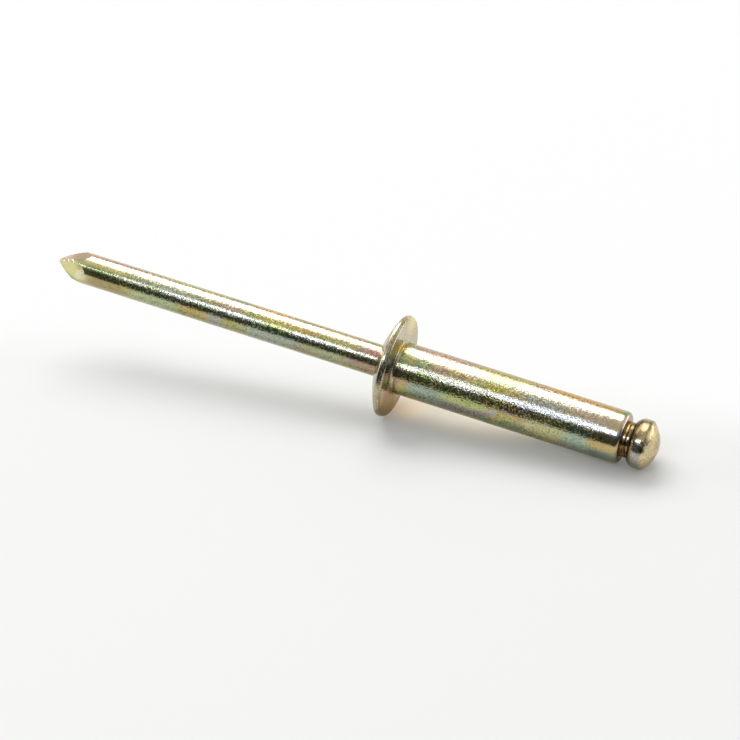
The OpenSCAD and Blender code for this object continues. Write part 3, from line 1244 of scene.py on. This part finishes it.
@dataclass(frozen=True)
class UncoatedPaper:
    """White uncoated paper, pressed from wood fibres, so it is matt and has thin shadows.

    To the camera it has one tone, and past the rivet it turns pure white, like a backdrop in
    full light. What the metal mirrors of it is painted darker towards the dark side of the room.

    Attributes:
        tone: Share of the light that it gives back to the camera.
        fibre_glow: Light that comes through its fibres, where 1 is white.
        mirrored: Share of the light that it gives back to the metal, where it is painted dark
        and where it is lit.
        dark_slope: Slope of the border between those two, in Y over X.
        dark_border: Where that border starts and ends, in metres along Y at the middle.
        white_slope: Slope of the border where it turns white, in Y over X.
        white_border: Where that border starts and ends.
        white_share: How far it turns white there.
        gleam_y: Place of the gleams along Y.
        gleam_half: Half of their width.
        gleams: The gleams of the flange's clamping face, and of the tube.
    """

    tone: float = 0.694
    fibre_glow: float = 0.12
    mirrored: tuple[float, float] = (0.04, 0.8)
    dark_slope: float = 0.49
    dark_border: tuple[float, float] = (-0.029, -0.022)
    white_slope: float = 0.18
    white_border: tuple[float, float] = (0.0, 0.006)
    white_share: float = 0.85
    gleam_y: float = 0.0008
    gleam_half: float = 0.0029
    gleams: tuple[Gleam, ...] = (
        Gleam(0.0042, 0.0028, 0.2, "#FFC070"),
        Gleam(0.0085, 0.008, 0.18, "#FFE6B0"),
    )

    def material(self) -> bpy.types.Material:
        """Builds the material.

        Returns:
            The new material.
        """
        made = bpy.data.materials.new("uncoated_white_paper")
        made.use_nodes = True
        tree = made.node_tree
        tree.nodes.clear()
        where = add(tree, "ShaderNodeTexCoord")
        ray = add(tree, "ShaderNodeLightPath")
        # Metres past a line across the paper, for both of the borders.
        to_dark, to_white = (
            add(
                tree,
                "ShaderNodeVectorMath",
                {0: where.outputs["Object"], 1: (-slope, 1.0, 0.0)},
                operation="DOT_PRODUCT",
            )
            for slope in (self.dark_slope, self.white_slope)
        )
        # Painted shade in what the metal mirrors: the paper goes dark towards the camera's side.
        fall = add(
            tree,
            "ShaderNodeMapRange",
            {
                "Value": to_dark.outputs["Value"],
                "From Min": self.dark_border[0],
                "From Max": self.dark_border[1],
                "To Min": self.mirrored[0],
                "To Max": self.mirrored[1],
            },
            interpolation_type="SMOOTHSTEP",
        )
        tone = add(
            tree,
            "ShaderNodeMix",
            {"Factor": ray.outputs["Is Camera Ray"], "A": fall.outputs["Result"], "B": self.tone},
        )
        matt = add(tree, "ShaderNodeBsdfDiffuse", {"Color": tone.outputs["Result"]})
        # Light that goes through the paper's fibres keeps its shadows thin.
        through = add(
            tree,
            "ShaderNodeMath",
            {0: ray.outputs["Is Camera Ray"], 1: self.fibre_glow},
            operation="MULTIPLY",
        )
        fibres = add(
            tree,
            "ShaderNodeEmission",
            {"Color": linear("#FFFFFF"), "Strength": through.outputs[0]},
        )
        paper = add(tree, "ShaderNodeAddShader", {0: matt.outputs[0], 1: fibres.outputs[0]})
        white = add(tree, "ShaderNodeEmission", {"Color": linear("#FFFFFF"), "Strength": 1.0})
        lift = add(
            tree,
            "ShaderNodeMapRange",
            {
                "Value": to_white.outputs["Value"],
                "From Min": self.white_border[0],
                "From Max": self.white_border[1],
                "To Min": 0.0,
                "To Max": self.white_share,
            },
        )
        seen = add(
            tree,
            "ShaderNodeMath",
            {0: ray.outputs["Is Camera Ray"], 1: lift.outputs["Result"]},
            operation="MULTIPLY",
        )
        lit = add(
            tree,
            "ShaderNodeMixShader",
            {0: seen.outputs[0], 1: paper.outputs[0], 2: white.outputs[0]},
        )
        # Painted light: warm glows that the paper gives off under the flange and along the tube.
        for gleam in self.gleams:
            near = add(
                tree,
                "ShaderNodeMapping",
                {
                    "Vector": where.outputs["Object"],
                    "Location": (gleam.middle, self.gleam_y, 0),
                    "Scale": (gleam.reach, self.gleam_half, 1),
                },
                vector_type="TEXTURE",
            )
            off = add(tree, "ShaderNodeVectorMath", {0: near.outputs[0]}, operation="LENGTH")
            fading = add(
                tree,
                "ShaderNodeMapRange",
                {
                    "Value": off.outputs["Value"],
                    "From Min": 0.1,
                    "From Max": 1.0,
                    "To Min": gleam.share,
                    "To Max": 0.0,
                },
                interpolation_type="SMOOTHSTEP",
            )
            warm = add(
                tree,
                "ShaderNodeEmission",
                {"Color": linear(gleam.colour), "Strength": fading.outputs["Result"]},
            )
            lit = add(tree, "ShaderNodeAddShader", {0: lit.outputs[0], 1: warm.outputs[0]})
        add(tree, "ShaderNodeOutputMaterial", {"Surface": lit.outputs[0]})
        return made


@dataclass(frozen=True)
class Studio:
    """White paper, a pale room with a dark side behind the camera, and soft lamps.

    Attributes:
        target: What the lamps face, in metres.
        paper_half: Half of the paper's width, in metres.
        dark_azimuth: Middle of the room's dark side, in degrees from -Y towards +X.
        dark_reach: Share of a turn from there to where the dark side starts to give way to
            the pale walls, and to where it has.
        lamps: The lamps.
    """

    target: np.ndarray
    paper_half: float = 1.5
    dark_azimuth: float = 15
    dark_reach: tuple[float, float] = (0.19, 0.24)
    lamps: tuple[Softbox, ...] = (
        Softbox("window_behind", -140, 55.8, 1.0, 0.57, 3.1, "#FFFFFF"),
        Softbox("lamp_in_front", -12, 46.2, 0.3, 0.1, 6.5, "#F7FAFF"),
        Softbox("low_strip_right", 128, 8, 0.8, 0.08, 2.2, "#FFFFFF"),
        Softbox("low_strip_left", -78, 12, 0.8, 0.3, 2.5, "#FFFFFF"),
    )

    def paper(self) -> None:
        """Lays the sheet of paper under the rivet."""
        half = self.paper_half
        mesh = bpy.data.meshes.new("white_paper")
        corners = [(-half, -half, 0), (half, -half, 0), (half, half, 0), (-half, half, 0)]
        mesh.from_pydata(corners, [], [(0, 1, 2, 3)])
        sheet = bpy.data.objects.new("white_paper", mesh)
        bpy.context.scene.collection.objects.link(sheet)
        mesh.materials.append(UncoatedPaper().material())

    def room(self) -> None:
        """Paints the room's light by direction: pale walls and ceiling, dark behind the camera."""
        world = bpy.data.worlds.new("pale_room")
        world.use_nodes = True
        tree = world.node_tree
        tree.nodes.clear()
        where = add(tree, "ShaderNodeTexCoord")
        turned = add(
            tree,
            "ShaderNodeMapping",
            {
                "Vector": where.outputs["Generated"],
                "Rotation": (0, 0, math.radians(90 - self.dark_azimuth)),
            },
        )
        split = add(tree, "ShaderNodeSeparateXYZ", {0: turned.outputs[0]})
        # The bearing is a share of a turn, a half straight towards the dark side.
        bearing = add(tree, "ShaderNodeTexGradient", {0: turned.outputs[0]}, gradient_type="RADIAL")
        off = add(tree, "ShaderNodeMath", {0: bearing.outputs["Fac"], 1: 0.5}, operation="SUBTRACT")
        away = add(tree, "ShaderNodeMath", {0: off.outputs[0]}, operation="ABSOLUTE")
        dark_side = add(
            tree,
            "ShaderNodeMapRange",
            {
                "Value": away.outputs[0],
                "From Min": self.dark_reach[0],
                "From Max": self.dark_reach[1],
                "To Min": 1.0,
                "To Max": 0.0,
            },
            interpolation_type="SMOOTHSTEP",
        )
        # Each side's light from the horizon up, by the sine of the elevation.
        front = add(tree, "ShaderNodeValToRGB", {"Fac": split.outputs["Z"]})
        fill_ramp(front, [(0.46, "#465049"), (0.58, "#9AA09E"), (0.84, "#CACAC6"), (1.0, "#E8E8E4")])
        rest = add(tree, "ShaderNodeValToRGB", {"Fac": split.outputs["Z"]})
        fill_ramp(rest, [(0.2, "#FFFFFF"), (0.27, "#D2D2CF"), (0.9, "#DCDCD8"), (1.0, "#E8E8E4")])
        walls = add(
            tree,
            "ShaderNodeMix",
            {
                "Factor": dark_side.outputs["Result"],
                6: rest.outputs["Color"],
                7: front.outputs["Color"],
            },
            data_type="RGBA",
        )
        ray = add(tree, "ShaderNodeLightPath")
        seen = add(
            tree,
            "ShaderNodeMix",
            {"Factor": ray.outputs["Is Camera Ray"], 6: walls.outputs[2], 7: linear("#FFFFFF")},
            data_type="RGBA",
        )
        glow = add(tree, "ShaderNodeBackground", {"Color": seen.outputs[2], "Strength": 1.0})
        add(tree, "ShaderNodeOutputWorld", {"Surface": glow.outputs[0]})
        bpy.context.scene.world = world

    def build(self) -> None:
        """Sets up the paper, the room and the lamps."""
        self.paper()
        self.room()
        for lamp in self.lamps:
            lamp.light(self.target)


@dataclass(frozen=True)
class Viewpoint:
    """Where the camera stands, and what it aims at.

    Attributes:
        target: Middle of the flange's clamping face, in metres.
        azimuth: Degrees from -Y towards +X.
        elevation: Degrees above the paper.
        distance: Distance to the target along the line of sight, in metres.
        lens: Focal length on a 36 mm frame, in millimetres.
        left: How far left of the target the camera aims, in millimetres.
        below: How far below it.
    """

    target: np.ndarray
    azimuth: float = 21.9
    elevation: float = 33.95
    distance: float = 0.240784
    lens: float = 156.28
    left: float = 2.183
    below: float = 0.213

    def build(self) -> None:
        """Sets up the camera."""
        lens = bpy.data.cameras.new("camera")
        lens.lens = self.lens
        lens.sensor_width = 36
        lens.clip_start = 0.005
        camera = bpy.data.objects.new("camera", lens)
        bpy.context.scene.collection.objects.link(camera)
        bpy.context.scene.camera = camera
        back = Vector(direction(self.azimuth, self.elevation))
        right = Vector((0, 0, 1)).cross(back).normalized()
        up = back.cross(right)
        place = Vector(self.target) - MM * (self.left * right + self.below * up) + self.distance * back
        turned = Matrix((right, up, back)).transposed().to_4x4()
        camera.matrix_world = Matrix.Translation(place) @ turned


def main() -> None:
    """Builds the rivet's pieces, the studio and the camera, in that order."""
    logging.basicConfig(level=logging.INFO, format="%(message)s")
    bpy.context.scene.view_settings.view_transform = "Standard"
    line = Line.from_record()
    body = RivetBody(line).build()
    mandrel = Mandrel(line).build()
    for piece, node, slot in ((body, "rivet_body", "body_finish"), (mandrel, "mandrel", "mandrel_finish")):
        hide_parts(node)
        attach(piece, "root")
        log.info("%s stands for %s: %d faces", piece.name, node, len(piece.data.polygons))
    Studio(line.start).build()
    Viewpoint(line.start).build()
    log.info("studio and camera are set")


if __name__ == "__main__":
    main()
